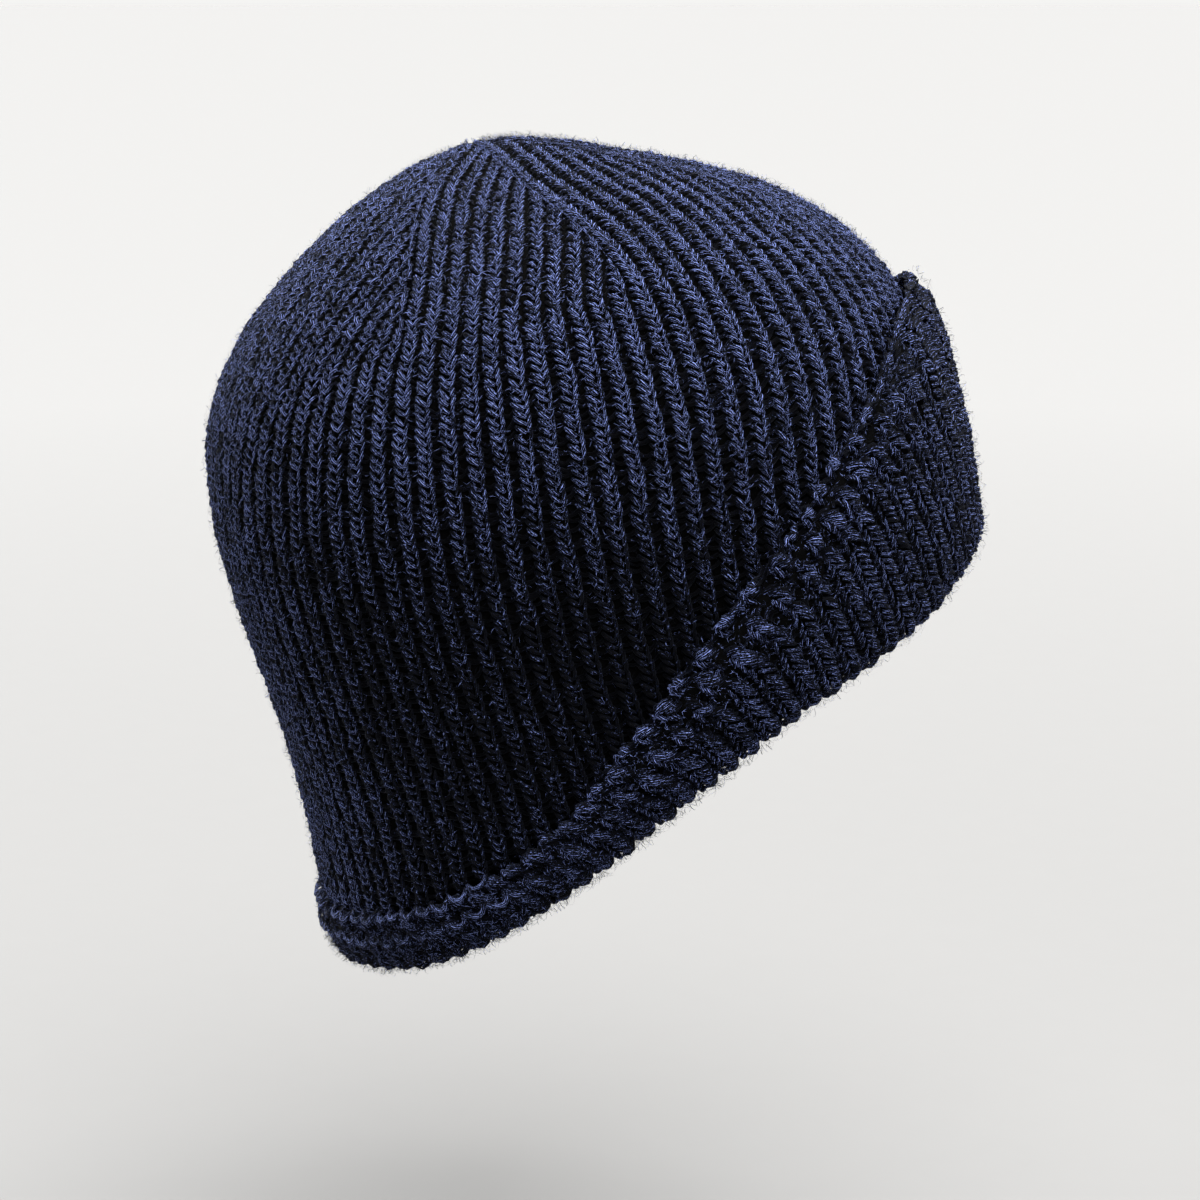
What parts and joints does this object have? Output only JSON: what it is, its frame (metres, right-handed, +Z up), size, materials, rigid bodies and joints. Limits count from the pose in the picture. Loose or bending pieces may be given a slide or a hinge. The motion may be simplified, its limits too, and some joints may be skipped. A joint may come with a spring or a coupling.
{
  "type": "deck hat",
  "caption": "Ribbed knitted cap with a spiral-decreased crown, a low nape and a turned-up band that is tall at the front and narrows to a small hem at the back.",
  "frame": {"origin": "the seat of the wearer's head, at the top of the hollow inside the crown", "axes": "+Z up, -Y towards the front of the hat, X across it; X = 0 is the plane of symmetry of its form"},
  "size_m": [0.1815, 0.2243, 0.2334],
  "materials": {
    "cap_knit": "navy wool, ribbed knit, slightly fuzzy",
    "band_knit": "navy wool, reverse side of the ribbed knit, slightly fuzzy"
  },
  "bodies": {
    "root": {"cap_body": "cap_knit", "turn_up": "band_knit"}
  },
  "joints": []
}
